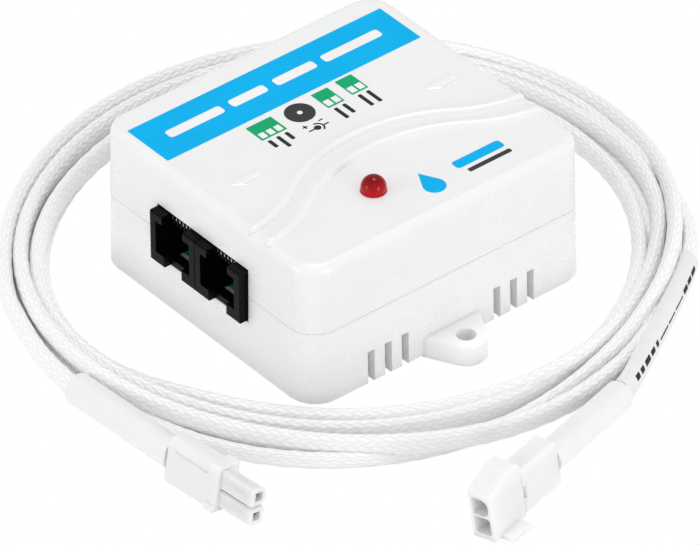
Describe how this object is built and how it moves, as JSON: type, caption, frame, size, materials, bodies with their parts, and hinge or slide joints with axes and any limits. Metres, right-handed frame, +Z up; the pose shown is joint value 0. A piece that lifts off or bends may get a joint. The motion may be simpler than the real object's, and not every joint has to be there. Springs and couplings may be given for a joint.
{
  "type": "water leak detection relay",
  "caption": "White wall-mount relay box with modular jacks, red lamp and screw terminals, and its braided leak-sensing cable coiled round it with plug and socket ends.",
  "frame": {"origin": "on the base plane of the case, midway between the two lug holes", "axes": "+Z up through the lid, +Y from one lug to the other, towards the wall with the terminals; the modular jacks face -X"},
  "size_m": [0.1377, 0.1552, 0.0351],
  "materials": {
    "case_white": "fine moulded satin",
    "jack_black": "moulded satin",
    "contact_gold": "plated",
    "board_green": "solder mask",
    "lamp_red": "tinted clear epoxy",
    "lead_tin": "tinned",
    "terminal_green": "moulded satin",
    "screw_steel": "zinc plated",
    "relay_black": "moulded matt",
    "chip_black": "moulded matt",
    "capacitor_can": "drawn",
    "braid_white": "herringbone braid",
    "shrink_white": "heat-shrink satin",
    "nylon_natural": "natural nylon"
  },
  "bodies": {
    "root": {"base_shell": "case_white", "top_cover": "case_white", "case_screws": "screw_steel", "circuit_board": "board_green", "led_lens": "lamp_red", "led_leads": "lead_tin", "relay_block": "relay_black", "microcontroller": "chip_black", "voltage_regulator": "chip_black", "filter_capacitor": "capacitor_can", "flyback_diode": "chip_black", "jack_1_housing": "jack_black", "jack_2_housing": "jack_black", "jack_1_contacts": "contact_gold", "jack_2_contacts": "contact_gold", "terminal_relay_housing": "terminal_green", "terminal_supply_housing": "terminal_green", "terminal_sensor_housing": "terminal_green", "terminal_clamps": "lead_tin", "terminal_screws": "screw_steel", "power_jack_housing": "jack_black", "power_jack_pin": "lead_tin", "cable_coil": "braid_white", "plug_tail": "braid_white", "socket_tail": "braid_white", "marker_sleeve": "shrink_white", "plug_boot": "shrink_white", "socket_boot": "shrink_white", "plug_housing": "nylon_natural", "plug_contacts": "lead_tin", "socket_housing": "nylon_natural", "socket_contacts": "lead_tin"}
  },
  "joints": []
}
